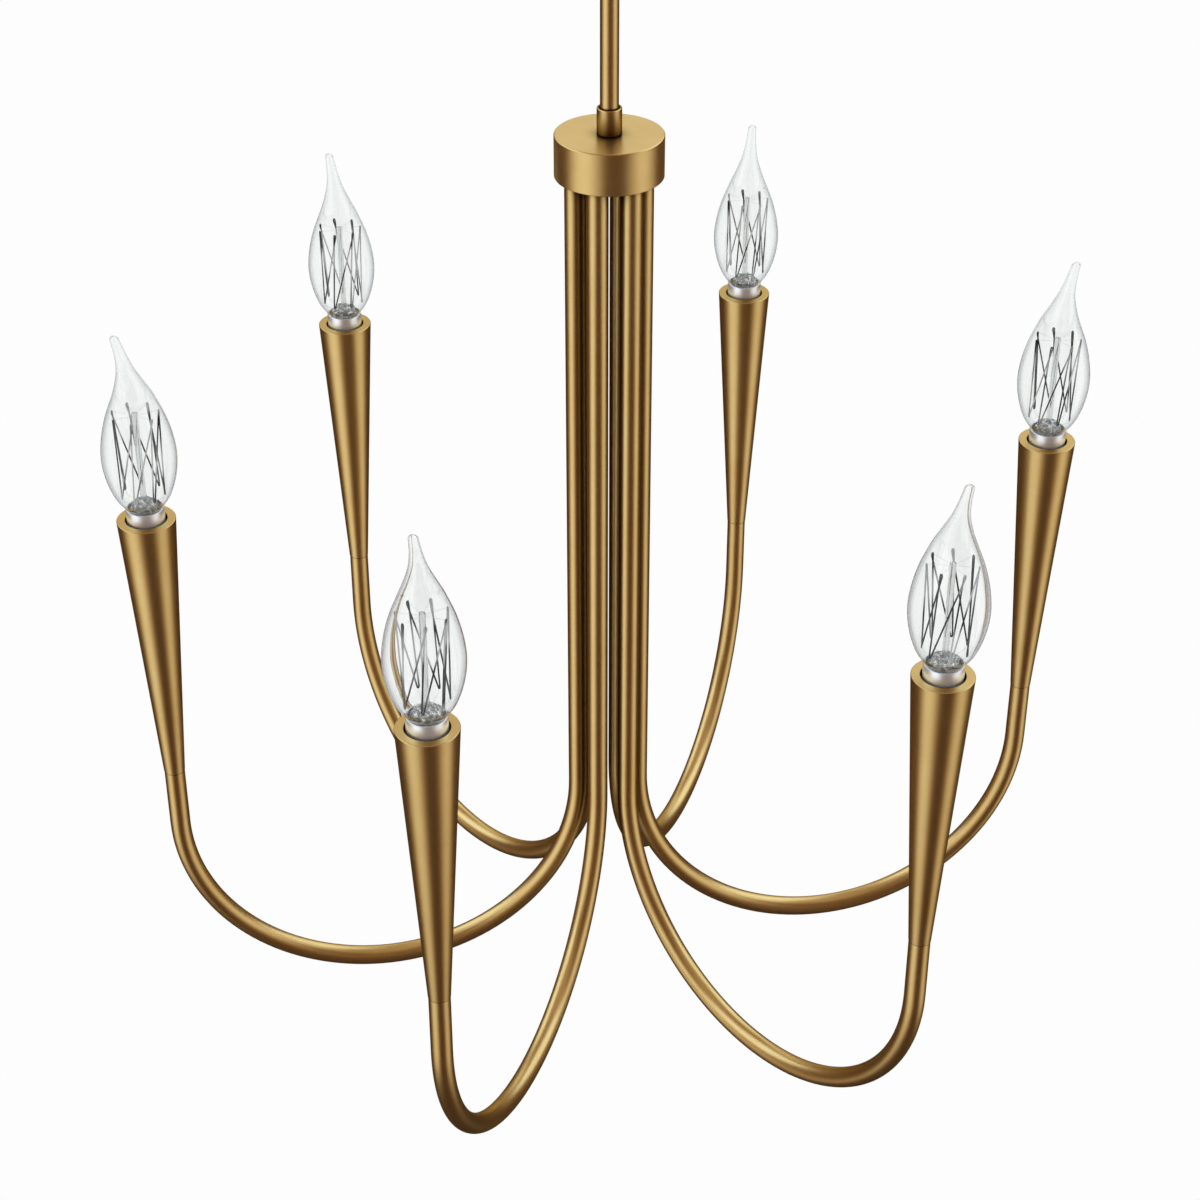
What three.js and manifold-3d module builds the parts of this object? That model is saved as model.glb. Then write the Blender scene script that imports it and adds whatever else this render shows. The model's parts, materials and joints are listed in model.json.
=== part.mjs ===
// Multi arm chandelier, in millimetres, +Z up. z = 0 is the ceiling, and the origin is the centre of
// the ceiling mount. Six U-shaped arms hang from a small round hub at the end of a down rod. Each arm
// ends in a tapered cup that holds a candle bulb with a bent tip.
import * as THREE from "three";
import { mergeVertices } from "three/addons/utils/BufferGeometryUtils.js";
import Module from "manifold-3d";

// Driving dimensions
const ARM_COUNT = 6;
const ARM_RADIUS = 240; // chandelier axis to the axis of a bulb
const LEG_RADIUS = 16.9; // chandelier axis to the axis of an arm's straight leg
const TUBE_RADIUS = 5.48;
const TUBE_BORE = 4.3;
const HUB_TOP = -365;
const HUB_RADIUS = 27.1;
const HUB_HEIGHT = 21.5;
const RIM_BELOW_HUB_TOP = 191.6; // the plane of the six cup rims
const CUP_LENGTH = 158.6;
const CUP_RIM_RADIUS = 15.15;
const CUP_FOOT_RADIUS = 5.65;
const CUP_BORE = 10.6;
const BEND_BELOW_RIM = 194; // where the legs turn into the half-round bend
const ROD_LENGTH = 305;
const ROD_RADIUS = 4.6;
const ROD_BORE = 3.3;
const COLLAR_RADIUS = 6.2;
const COLLAR_HEIGHT = 13.5;
const CANOPY_RADIUS = 60;
const CANOPY_HEIGHT = 22;
const CANOPY_WALL = 1.5;
const STUD_OFFSET = 45; // the two studs that hold the canopy to the crossbar
const STUD_RADIUS = 1.9;
const PIN_Z = -39;
const BULB_TOP = 104; // above the cup's rim
const BULB_BEND_START = 70;
const BULB_TIP_OFFSET = 6.1;
const GAP = 0.3; // between pieces that touch or screw together

// Levels and radii that follow from them
const RIM_Z = HUB_TOP - RIM_BELOW_HUB_TOP;
const HUB_BOTTOM = HUB_TOP - HUB_HEIGHT;
const BEND_Z = RIM_Z - BEND_BELOW_RIM;
const BEND_RADIUS = (ARM_RADIUS - LEG_RADIUS) / 2;
const ROD_BOTTOM = HUB_TOP + 4;
const ROD_TOP = ROD_BOTTOM + ROD_LENGTH;
const TUBE_TOP = HUB_BOTTOM + 10.5;
const PLATE_BOTTOM = HUB_BOTTOM + 2;
const PLATE_TOP = PLATE_BOTTOM + 3;

const BRASS = new THREE.MeshStandardMaterial({ color: 0xa67f3e, roughness: 0.36, metalness: 1 });
const STEEL = new THREE.MeshStandardMaterial({ color: 0xb4b6b8, roughness: 0.4, metalness: 1 });
const CAP_METAL = new THREE.MeshStandardMaterial({ color: 0xd4d4d6, roughness: 0.3, metalness: 1 });
const PHENOLIC = new THREE.MeshStandardMaterial({ color: 0x1d1b1a, roughness: 0.55, metalness: 0 });
const INSULATION = new THREE.MeshStandardMaterial({ color: 0xe6e2d8, roughness: 0.5, metalness: 0 });
const STEM_GLASS = new THREE.MeshStandardMaterial({ color: 0xc8ccce, roughness: 0.1, metalness: 0 });
const CLEAR_GLASS = new THREE.MeshStandardMaterial({
  color: 0xf2f6f6,
  roughness: 0.02,
  metalness: 0,
  transparent: true,
  opacity: 0.3,
});

const wasm = await Module();
wasm.setup();

// A closed geometry as a solid that can be joined and cut.
function toSolid(geometry) {
  const bare = geometry.index ? geometry.toNonIndexed() : geometry.clone();
  bare.deleteAttribute("normal");
  bare.deleteAttribute("uv");
  const merged = mergeVertices(bare, 1e-4);
  const mesh = new wasm.Mesh({
    numProp: 3,
    vertProperties: merged.attributes.position.array,
    triVerts: new Uint32Array(merged.index.array),
  });
  return new wasm.Manifold(mesh);
}

function toGeometry(solid) {
  const mesh = solid.getMesh();
  const geometry = new THREE.BufferGeometry();
  geometry.setAttribute("position", new THREE.BufferAttribute(mesh.vertProperties, 3));
  geometry.setIndex(new THREE.BufferAttribute(mesh.triVerts, 1));
  geometry.computeVertexNormals();
  return geometry;
}

// A solid of revolution about Z. The profile is a list of [radius, z].
function revolve(profile, sides) {
  const closed = profile.some(([radius]) => radius === 0) ? profile : [...profile, profile[0]];
  const points = closed.map(([radius, z]) => new THREE.Vector2(radius, z));
  return new THREE.LatheGeometry(points, sides).rotateX(Math.PI / 2);
}

function ring(outer, inner, bottom, top, sides) {
  return revolve([[inner, bottom], [outer, bottom], [outer, top], [inner, top]], sides);
}

function cylinder(radius, bottom, top, sides, x = 0) {
  const shape = new THREE.CylinderGeometry(radius, radius, top - bottom, sides);
  return shape.rotateX(Math.PI / 2).translate(x, 0, (bottom + top) / 2);
}

function box(width, depth, bottom, top) {
  const shape = new THREE.BoxGeometry(width, depth, top - bottom);
  return shape.translate(0, 0, (bottom + top) / 2);
}

// The corners of a regular polygon, in order round the circle.
function polygon(radius, sides, x = 0, y = 0) {
  const corners = [];
  for (let i = 0; i < sides; i++) {
    const angle = (2 * Math.PI * i) / sides;
    corners.push(new THREE.Vector2(x + radius * Math.cos(angle), y + radius * Math.sin(angle)));
  }
  return corners;
}

// The radius of a polygon whose flats, not its corners, lie at the given radius.
function acrossFlats(radius, sides) {
  return radius / Math.cos(Math.PI / sides);
}

function plate(shape, bottom, top) {
  const settings = { depth: top - bottom, bevelEnabled: false, curveSegments: 6 };
  return new THREE.ExtrudeGeometry(shape, settings).translate(0, 0, bottom);
}

// A hexagon nut. The hole is measured across its flats.
function hexNut(width, hole, bottom, top, x = 0) {
  const shape = new THREE.Shape(polygon(acrossFlats(width / 2, 6), 6, x));
  shape.holes.push(new THREE.Path(polygon(acrossFlats(hole, 12), 12, x)));
  return plate(shape, bottom, top);
}

// A bar with one round end, its outline in the XZ plane and its thickness along Y.
function roundEndedBar(halfWidth, centreZ, straightEnd, thickness) {
  const outline = new THREE.Shape();
  const pointsDown = straightEnd > centreZ;
  outline.moveTo(-halfWidth, straightEnd);
  outline.lineTo(-halfWidth, centreZ);
  outline.absarc(0, centreZ, halfWidth, Math.PI, pointsDown ? 2 * Math.PI : 0, !pointsDown);
  outline.lineTo(halfWidth, straightEnd);
  const settings = { depth: thickness, bevelEnabled: false, curveSegments: 9 };
  return new THREE.ExtrudeGeometry(outline, settings)
    .translate(0, 0, -thickness / 2)
    .rotateX(Math.PI / 2);
}

// A path through given points, with one step of a sweep for each point.
class PointPath extends THREE.Curve {
  constructor(points) {
    super();
    this.points = points;
  }

  getPoint(t, target = new THREE.Vector3()) {
    const place = Math.min(Math.max(t, 0), 1) * (this.points.length - 1);
    const first = Math.min(Math.floor(place), this.points.length - 2);
    return target.lerpVectors(this.points[first], this.points[first + 1], place - first);
  }

  getUtoTmapping(u) {
    return u;
  }
}

function sweep(points, section) {
  const settings = { steps: points.length - 1, bevelEnabled: false };
  return new THREE.ExtrudeGeometry(section, { ...settings, extrudePath: new PointPath(points) });
}

// The centre line of an arm in the XZ plane: down the leg, round the bend and up to topZ.
function armLine(legTop, topZ, bendSteps) {
  const points = [new THREE.Vector3(LEG_RADIUS, 0, legTop)];
  const centre = LEG_RADIUS + BEND_RADIUS;
  for (let i = 0; i <= bendSteps; i++) {
    const angle = Math.PI * (1 + i / bendSteps);
    const x = centre + BEND_RADIUS * Math.cos(angle);
    points.push(new THREE.Vector3(x, 0, BEND_Z + BEND_RADIUS * Math.sin(angle)));
  }
  points.push(new THREE.Vector3(ARM_RADIUS, 0, topZ));
  return points;
}

function armTube() {
  const section = new THREE.Shape(polygon(TUBE_RADIUS, 12));
  section.holes.push(new THREE.Path(polygon(acrossFlats(TUBE_BORE, 8), 8)));
  return sweep(armLine(TUBE_TOP, RIM_Z - CUP_LENGTH - GAP, 12), section);
}

// The cup's foot has a spigot that goes down inside the arm tube, and its bore has a ledge for the
// socket. Heights are from the rim.
function candleCup() {
  const ledge = 48;
  const spigotEnd = CUP_LENGTH + 10;
  return revolve(
    [
      [CUP_RIM_RADIUS, 0],
      [CUP_BORE, 0],
      [CUP_BORE, -ledge],
      [CUP_BORE - 1.2, -ledge],
      [4.2, -CUP_LENGTH + 13],
      [2.2, -CUP_LENGTH + 9],
      [2.2, -spigotEnd],
      [3.9, -spigotEnd],
      [3.9, -CUP_LENGTH],
      [CUP_FOOT_RADIUS, -CUP_LENGTH],
    ],
    14,
  );
}

// A candelabra socket: a tube with a threaded bore, and a floor with a hole for the leads.
function lampSocket() {
  return revolve(
    [
      [1.9, -47.6],
      [CUP_BORE - 0.5, -47.6],
      [CUP_BORE - 0.5, -13],
      [6.4, -13],
      [6.4, -31],
      [1.9, -31],
    ],
    10,
  );
}

// The bulb's metal cap: a wide skirt, then the narrow screw and its contact.
function bulbCap() {
  return revolve(
    [
      [0, -27.5],
      [2.6, -27.5],
      [5.8, -24],
      [5.8, -13],
      [9.8, -9.5],
      [9.8, 7],
      [9, 7],
      [9, -8.5],
      [0, -10.5],
    ],
    10,
  );
}

// The glass is a shell with an open neck inside the cap. Its tip leans outward, away from the hub.
function bulbGlass() {
  const outside = [
    [7.4, -6],
    [8.5, -6],
    [8.6, 7.3],
    [10.2, 7.6],
    [16, 18],
    [19, 36],
    [17.4, 50],
    [12.9, 65],
    [7.1, 78],
    [3.3, 91],
    [2.2, 101],
    [0, BULB_TOP],
  ];
  const inside = [
    [0, BULB_TOP - 1.8],
    [2.3, 90],
    [11.8, 64],
    [17.9, 36],
    [15, 18],
    [7.6, 7.3],
  ];
  const geometry = revolve([...outside, ...inside, outside[0]], 10);
  const position = geometry.attributes.position;
  const bendLength = BULB_TOP - BULB_BEND_START;
  for (let i = 0; i < position.count; i++) {
    const beyond = Math.max(position.getZ(i) - BULB_BEND_START, 0) / bendLength;
    position.setX(i, position.getX(i) + BULB_TIP_OFFSET * beyond ** 1.4);
  }
  return geometry;
}

// The glass flare and stem that carry the filament.
function filamentMount() {
  return revolve([[0, -5], [6.8, -5], [6.8, -2], [3, 6], [1.7, 12], [1.6, 60], [0, 61]], 8);
}

function canopy() {
  const z = -CANOPY_HEIGHT;
  const inner = CANOPY_RADIUS - CANOPY_WALL;
  const shell = revolve(
    [
      [5.5, z],
      [CANOPY_RADIUS - 2, z],
      [CANOPY_RADIUS, z + 2],
      [CANOPY_RADIUS, 0],
      [inner, 0],
      [inner, z + 2.4],
      [inner - 0.9, z + CANOPY_WALL],
      [5.5, z + CANOPY_WALL],
    ],
    32,
  );
  let solid = toSolid(shell);
  for (const x of [-STUD_OFFSET, STUD_OFFSET]) {
    const hole = cylinder(STUD_RADIUS + 0.5, z - 1, z + 3, 12, x);
    solid = solid.subtract(toSolid(hole));
  }
  return toGeometry(solid);
}

// The steel bar that is screwed to the outlet box, with a pair of slots for its screws.
function crossbar() {
  const halfLength = 52;
  const halfWidth = 10;
  const outline = new THREE.Shape([
    new THREE.Vector2(-halfLength, -halfWidth),
    new THREE.Vector2(halfLength, -halfWidth),
    new THREE.Vector2(halfLength, halfWidth),
    new THREE.Vector2(-halfLength, halfWidth),
  ]);
  outline.holes.push(new THREE.Path(polygon(5.2, 12)));
  for (const side of [-1, 1]) {
    const hole = polygon(STUD_RADIUS + 0.5, 12, side * STUD_OFFSET);
    outline.holes.push(new THREE.Path(hole));
    const slot = new THREE.Path();
    slot.absarc(side * 26 + 5, 0, 2.4, -Math.PI / 2, Math.PI / 2, false);
    slot.absarc(side * 26 - 5, 0, 2.4, Math.PI / 2, (3 * Math.PI) / 2, false);
    outline.holes.push(slot);
  }
  return plate(outline, -2, 0);
}

function capNut(x) {
  const top = -CANOPY_HEIGHT - GAP;
  const profile = [
    [0, top - 8],
    [3.2, top - 7.2],
    [5, top - 4.6],
    [5, top],
    [2.4, top],
    [2.4, top - 5.6],
    [0, top - 5.6],
  ];
  return revolve(profile, 12).translate(x, 0, 0);
}

// The yoke screws on the canopy's nipple, and its two ears hold the pin.
function swivelYoke() {
  const top = -CANOPY_HEIGHT - GAP;
  const shoulder = top - 8.7;
  const earHalfWidth = 7;
  const ears = toSolid(roundEndedBar(earHalfWidth, PIN_Z, shoulder + 2, 24));
  const outline = ears.add(toSolid(box(24, 24, shoulder, top + 1)));
  return toGeometry(
    toSolid(cylinder(9, PIN_Z - 9, top, 24))
      .intersect(outline)
      .subtract(toSolid(box(20, 8.4, PIN_Z - 10, shoulder)))
      .subtract(toSolid(cylinder(5.5, shoulder - 1, top + 1, 16)))
      .subtract(toSolid(pinHole())),
  );
}

function pinHole() {
  return new THREE.CylinderGeometry(2.55, 2.55, 30, 12).translate(0, 0, PIN_Z);
}

// The pin lies along Y and is riveted over at its far end.
function swivelPin() {
  const profile = [
    [0, -11.3],
    [3.6, -11.3],
    [3.6, -9.3],
    [2.1, -9.3],
    [2.1, 9.3],
    [3.2, 9.3],
    [3.2, 10.8],
    [0, 10.8],
  ];
  const points = profile.map(([radius, y]) => new THREE.Vector2(radius, y));
  return new THREE.LatheGeometry(points, 12).translate(0, 0, PIN_Z);
}

// The knuckle screws on the rod, and its tongue hangs on the pin between the yoke's ears.
function swivelKnuckle() {
  const shoulder = PIN_Z - 9;
  const tongueHalfWidth = 5.6;
  return toGeometry(
    toSolid(cylinder(COLLAR_RADIUS, ROD_TOP - 8, shoulder, 20))
      .add(toSolid(roundEndedBar(tongueHalfWidth, PIN_Z, shoulder - 0.5, 7.6)))
      .subtract(toSolid(cylinder(ROD_RADIUS + 0.4, ROD_TOP - 9, ROD_TOP + GAP, 20)))
      .subtract(toSolid(pinHole())),
  );
}

function rodCollar() {
  const bottom = HUB_TOP + GAP;
  const step = ROD_BOTTOM - GAP;
  const top = HUB_TOP + COLLAR_HEIGHT;
  return revolve(
    [
      [4.2, bottom],
      [COLLAR_RADIUS, bottom],
      [COLLAR_RADIUS, top],
      [ROD_RADIUS + 0.4, top],
      [ROD_RADIUS + 0.4, step],
      [4.2, step],
    ],
    20,
  );
}

function hubCover() {
  const wall = 1.5;
  const edge = 0.6;
  return revolve(
    [
      [HUB_RADIUS, HUB_BOTTOM],
      [HUB_RADIUS, HUB_TOP - edge],
      [HUB_RADIUS - edge, HUB_TOP],
      [4.3, HUB_TOP],
      [4.3, HUB_TOP - 2.5],
      [HUB_RADIUS - wall, HUB_TOP - 2.5],
      [HUB_RADIUS - wall, HUB_BOTTOM],
    ],
    32,
  );
}

function hubPlate() {
  const outline = new THREE.Shape(polygon(HUB_RADIUS - 1.9, 32));
  for (let i = 0; i < ARM_COUNT; i++) {
    const angle = (2 * Math.PI * i) / ARM_COUNT;
    const x = LEG_RADIUS * Math.cos(angle);
    const y = LEG_RADIUS * Math.sin(angle);
    outline.holes.push(new THREE.Path(polygon(6, 12, x, y)));
  }
  return plate(outline, PLATE_BOTTOM, PLATE_TOP);
}

// The leads of the six sockets meet at a splice in the hub, and one lead goes on up the rod.
function wiringHarness() {
  const leadSection = new THREE.Shape(polygon(1.3, 6));
  const spliceZ = HUB_TOP - 12;
  const overTheTube = [
    [0, spliceZ],
    [7, spliceZ + 2.5],
    [12, spliceZ + 5],
    [15.2, spliceZ + 4.8],
  ];
  const line = overTheTube.map(([x, z]) => new THREE.Vector3(x, 0, z));
  line.push(...armLine(TUBE_TOP + 0.5, RIM_Z - 40, 12));
  let harness = toSolid(cylinder(3.4, spliceZ - 3, spliceZ + 3, 10));
  harness = harness.add(toSolid(cylinder(2, spliceZ, ROD_TOP - 1, 8)));
  for (let i = 0; i < ARM_COUNT; i++) {
    const lead = sweep(line, leadSection).rotateZ((2 * Math.PI * i) / ARM_COUNT);
    harness = harness.add(toSolid(lead));
  }
  return toGeometry(harness);
}

function addPiece(group, name, geometry, material) {
  const mesh = new THREE.Mesh(geometry, material);
  mesh.name = name;
  group.add(mesh);
  return mesh;
}

const chandelier = new THREE.Group();

const ceilingMount = new THREE.Group();
addPiece(ceilingMount, "crossbar", crossbar(), STEEL);
addPiece(ceilingMount, "canopy", canopy(), BRASS);
addPiece(ceilingMount, "canopy_nipple", ring(4.9, 3.3, -CANOPY_HEIGHT - 8, -12, 14), STEEL);
const canopyFloor = -CANOPY_HEIGHT + CANOPY_WALL + GAP;
addPiece(ceilingMount, "canopy_locknut", hexNut(14, 5.3, canopyFloor, canopyFloor + 4), STEEL);
[-STUD_OFFSET, STUD_OFFSET].forEach((x, i) => {
  const stud = cylinder(STUD_RADIUS, -CANOPY_HEIGHT - 5.5, -GAP, 10, x);
  addPiece(ceilingMount, `canopy_stud_${i + 1}`, stud, STEEL);
  addPiece(ceilingMount, `cap_nut_${i + 1}`, capNut(x), BRASS);
});
chandelier.add(ceilingMount);

const swivel = new THREE.Group();
addPiece(swivel, "swivel_yoke", swivelYoke(), BRASS);
addPiece(swivel, "swivel_pin", swivelPin(), BRASS);
chandelier.add(swivel);

const hub = new THREE.Group();
addPiece(hub, "swivel_knuckle", swivelKnuckle(), BRASS);
addPiece(hub, "down_rod", ring(ROD_RADIUS, ROD_BORE, ROD_BOTTOM, ROD_TOP, 16), BRASS);
addPiece(hub, "rod_collar", rodCollar(), BRASS);
addPiece(hub, "hub_cover", hubCover(), BRASS);
addPiece(hub, "hub_plate", hubPlate(), BRASS);
addPiece(hub, "hub_nipple", ring(3.8, 2.7, HUB_TOP - 8, ROD_BOTTOM - 0.9, 14), STEEL);
addPiece(hub, "hub_locknut", hexNut(11, 4.15, HUB_TOP - 5.8, HUB_TOP - 2.8), STEEL);
addPiece(hub, "wiring_harness", wiringHarness(), INSULATION);
chandelier.add(hub);

for (let i = 0; i < ARM_COUNT; i++) {
  const arm = new THREE.Group();
  const number = i + 1;
  const nut = hexNut(13.4, 5.8, PLATE_TOP + GAP, PLATE_TOP + 3.8, LEG_RADIUS);
  addPiece(arm, `arm_tube_${number}`, armTube(), BRASS);
  addPiece(arm, `arm_nut_${number}`, nut, STEEL);

  const candle = new THREE.Group();
  addPiece(candle, `candle_cup_${number}`, candleCup(), BRASS);
  addPiece(candle, `lamp_socket_${number}`, lampSocket(), PHENOLIC);
  addPiece(candle, `bulb_cap_${number}`, bulbCap(), CAP_METAL);
  addPiece(candle, `bulb_glass_${number}`, bulbGlass(), CLEAR_GLASS);
  addPiece(candle, `filament_mount_${number}`, filamentMount(), STEM_GLASS);
  candle.position.set(ARM_RADIUS, 0, RIM_Z);
  arm.add(candle);
  arm.rotation.z = (2 * Math.PI * i) / ARM_COUNT;
  chandelier.add(arm);
}

export default chandelier;
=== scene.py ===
"""The looks of the multi arm chandelier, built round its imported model.

Outlines are (radius, height) points in millimetres, and a third number is the radius that rounds
the corner. Every piece is placed from the frame.
"""

import json
import math

import bmesh
import bpy
from mathutils import Matrix, Vector, noise


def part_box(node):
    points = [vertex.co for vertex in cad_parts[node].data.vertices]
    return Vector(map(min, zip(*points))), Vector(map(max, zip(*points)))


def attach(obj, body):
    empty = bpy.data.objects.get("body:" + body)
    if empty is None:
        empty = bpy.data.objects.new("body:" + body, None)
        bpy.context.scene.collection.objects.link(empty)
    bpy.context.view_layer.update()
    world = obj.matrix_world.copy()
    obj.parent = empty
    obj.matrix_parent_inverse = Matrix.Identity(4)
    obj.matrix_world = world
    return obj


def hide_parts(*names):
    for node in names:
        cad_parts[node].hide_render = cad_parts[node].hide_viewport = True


MM = 0.001
ARM_COUNT = 6

# Sizes in millimetres, the same as the CAD's
TUBE_RADIUS = 5.48
TUBE_BORE = 4.3
CUP_LENGTH = 158.6
CUP_RIM_RADIUS = 15.15
CUP_FOOT_RADIUS = 5.65
CUP_BORE = 10.6
HUB_RADIUS = 27.1
ROD_RADIUS = 4.6
ROD_BORE = 3.3
COLLAR_RADIUS = 6.2
CANOPY_RADIUS = 60
CANOPY_WALL = 1.5
STUD_OFFSET = 45
PIN_Z = -39
BULB_TOP = 104
BULB_BEND_START = 70
BULB_TIP_OFFSET = 6.1
GAP = 0.3  # between pieces that touch or screw together

SCREW_PITCH = 2.54  # of the bulbs' screw caps and their sockets

# The camera, in metres and degrees, from the chandelier's axis and the plane of the cup rims
CAMERA_PLACE = Vector((-0.2026, -1.1218, 0.6490))
CAMERA_AZIMUTH = -10.01
CAMERA_PITCH = 32.45
CAMERA_LENS = 74.88

FLOOR_Z = -2.6  # in metres, below the ceiling

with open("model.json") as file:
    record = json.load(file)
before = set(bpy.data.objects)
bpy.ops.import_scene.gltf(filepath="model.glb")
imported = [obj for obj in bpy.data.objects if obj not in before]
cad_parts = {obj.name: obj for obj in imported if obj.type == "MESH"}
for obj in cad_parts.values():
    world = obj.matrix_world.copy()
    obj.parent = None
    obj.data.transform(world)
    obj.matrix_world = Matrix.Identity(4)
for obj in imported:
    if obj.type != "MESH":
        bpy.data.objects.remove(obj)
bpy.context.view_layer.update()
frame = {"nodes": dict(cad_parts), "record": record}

# Places in the frame, in metres
cup_low, cup_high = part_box("candle_cup_1")
tube_low, tube_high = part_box("arm_tube_1")
RIM_Z = cup_high.z
ARM_RADIUS = (cup_low.x + cup_high.x) / 2
LEG_RADIUS = tube_low.x + TUBE_RADIUS * MM
BEND_RADIUS = (ARM_RADIUS - LEG_RADIUS) / 2
BEND_Z = tube_low.z + TUBE_RADIUS * MM + BEND_RADIUS


def levels(node):
    """The lowest and highest level of a CAD node, in millimetres."""
    return [corner.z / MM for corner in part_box(node)]


# ---------------------------------------------------------------- camera, floor and light


# Soft panels that reflections see. For each: how far it is turned from the camera to the right, half
# its width, how high it is above the horizon, half its height and the blur of its edges, in degrees,
# and its level.
PANELS = (
    (-54, 31, -10, 40, 23, 1.12),
    (73, 26, -9, 40, 20, 0.95),
    (-104, 50, 38, 20, 16, 1.4),
    (125, 48, 39, 22, 16, 1.38),
    (180, 24, 28, 12, 12, 1.12),
    (180, 17, -6, 16, 10, 0.75),
)

# Levels of the studio round the panels: overhead, on its walls and at its darkest
OVERHEAD_LEVEL = 0.52
WALL_LEVEL = 0.09
DARKEST_LEVEL = 0.055

# The darker the studio, the warmer: its green and blue are these powers of its red.
GREEN_POWER = 1.4
BLUE_POWER = 1.82

# The sockets of a Mix node that hold colours
MIX_FIRST, MIX_SECOND, MIX_RESULT = 6, 7, 2


def make_camera():
    data = bpy.data.cameras.new("camera")
    data.lens = CAMERA_LENS
    data.sensor_width = 36
    data.clip_end = 100
    camera = bpy.data.objects.new("camera", data)
    camera.location = CAMERA_PLACE + Vector((0, 0, RIM_Z))
    camera.rotation_euler = (math.radians(90 - CAMERA_PITCH), 0, math.radians(CAMERA_AZIMUTH))
    bpy.context.collection.objects.link(camera)
    bpy.context.scene.camera = camera


def make_floor():
    half = 40
    corners = [(-half, -half, FLOOR_Z), (half, -half, FLOOR_Z)]
    corners += [(half, half, FLOOR_Z), (-half, half, FLOOR_Z)]
    mesh = bpy.data.meshes.new("floor")
    mesh.from_pydata(corners, [], [(0, 1, 2, 3)])
    floor = bpy.data.objects.new("floor", mesh)
    bpy.context.collection.objects.link(floor)
    material = bpy.data.materials.new("floor")
    material.use_nodes = True
    shader = material.node_tree.nodes["Principled BSDF"]
    shader.inputs["Base Color"].default_value = (0.1, 0.1, 0.1, 1)
    shader.inputs["Roughness"].default_value = 0.9
    shader.inputs["Emission Color"].default_value = (1, 1, 1, 1)
    shader.inputs["Emission Strength"].default_value = 0.885
    shader.inputs["Specular IOR Level"].default_value = 0
    mesh.materials.append(material)
    # The metal mirrors the studio and its panels, and not the floor.
    floor.visible_glossy = False
    floor.visible_shadow = False


class Studio:
    """What the metal and glass mirror: soft panels round a dim warm studio, as a level for each way
    that a reflection looks."""

    def __init__(self, nodes, links):
        self.nodes, self.links = nodes, links
        self.way = nodes.new("ShaderNodeTexCoord").outputs["Generated"]
        parts = nodes.new("ShaderNodeSeparateXYZ")
        links.new(self.way, parts.inputs[0])
        self.elevation = self.math("ARCSINE", parts.outputs["Z"])

    def math(self, operation, *values):
        node = self.nodes.new("ShaderNodeMath")
        node.operation = operation
        for socket, value in zip(node.inputs, values):
            if isinstance(value, (int, float)):
                socket.default_value = value
            else:
                self.links.new(value, socket)
        return node.outputs[0]

    def fade(self, angle, full, none, level=1.0):
        """Fades from the level, where the angle is full degrees, to 0, where it is none degrees."""
        node = self.nodes.new("ShaderNodeMapRange")
        node.interpolation_type = "SMOOTHSTEP"
        node.inputs["From Min"].default_value = math.radians(full)
        node.inputs["From Max"].default_value = math.radians(none)
        node.inputs["To Min"].default_value = level
        node.inputs["To Max"].default_value = 0
        self.links.new(angle, node.inputs["Value"])
        return node.outputs["Result"]

    def panel(self, turn, half_width, rise, half_height, blur, level):
        """A soft panel. The blur is that of its sides, and its top and bottom are 3 times sharper."""
        rotate = self.nodes.new("ShaderNodeVectorRotate")
        rotate.rotation_type = "Z_AXIS"
        rotate.inputs["Angle"].default_value = -math.radians(CAMERA_AZIMUTH + turn)
        self.links.new(self.way, rotate.inputs["Vector"])
        parts = self.nodes.new("ShaderNodeSeparateXYZ")
        self.links.new(rotate.outputs[0], parts.inputs[0])
        forward = self.math("MULTIPLY", parts.outputs["Y"], -1.0)
        across = self.math("ABSOLUTE", self.math("ARCTAN2", parts.outputs["X"], forward))
        above = self.math("ABSOLUTE", self.math("SUBTRACT", self.elevation, math.radians(rise)))
        wide = self.fade(across, half_width - blur, half_width + blur, level)
        tall = self.fade(above, half_height - blur / 3, half_height + blur / 3)
        return self.math("MULTIPLY", wide, tall)


def make_world():
    """White behind the object and as fill light, and the studio in its reflections."""
    world = bpy.data.worlds.new("studio")
    world.use_nodes = True
    nodes, links = world.node_tree.nodes, world.node_tree.links
    studio = Studio(nodes, links)
    level = studio.fade(studio.elevation, full=75, none=25, level=OVERHEAD_LEVEL)
    for panel in PANELS:
        level = studio.math("MAXIMUM", level, studio.panel(*panel))
    walls = studio.fade(studio.elevation, full=20, none=-50, level=WALL_LEVEL)
    level = studio.math("MAXIMUM", level, studio.math("ADD", walls, DARKEST_LEVEL))
    warm = nodes.new("ShaderNodeCombineColor")
    links.new(level, warm.inputs["Red"])
    links.new(studio.math("POWER", level, GREEN_POWER), warm.inputs["Green"])
    links.new(studio.math("POWER", level, BLUE_POWER), warm.inputs["Blue"])

    # Polished glass mirrors the same panels without the warmth.
    path = nodes.new("ShaderNodeLightPath")
    tint = nodes.new("ShaderNodeMix")
    tint.data_type = "RGBA"
    links.new(path.outputs["Is Singular Ray"], tint.inputs["Factor"])
    links.new(warm.outputs[0], tint.inputs[MIX_FIRST])
    links.new(level, tint.inputs[MIX_SECOND])
    white, mirrored = nodes["Background"], nodes.new("ShaderNodeBackground")
    white.inputs["Color"].default_value = (0.98, 0.98, 0.98, 1)
    links.new(tint.outputs[MIX_RESULT], mirrored.inputs["Color"])
    mix = nodes.new("ShaderNodeMixShader")
    links.new(studio.math("MINIMUM", path.outputs["Glossy Depth"], 1.0), mix.inputs[0])
    links.new(white.outputs[0], mix.inputs[1])
    links.new(mirrored.outputs[0], mix.inputs[2])
    links.new(mix.outputs[0], nodes["World Output"].inputs["Surface"])
    bpy.context.scene.world = world
    bpy.context.scene.view_settings.view_transform = "Standard"


# ---------------------------------------------------------------- materials


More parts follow.
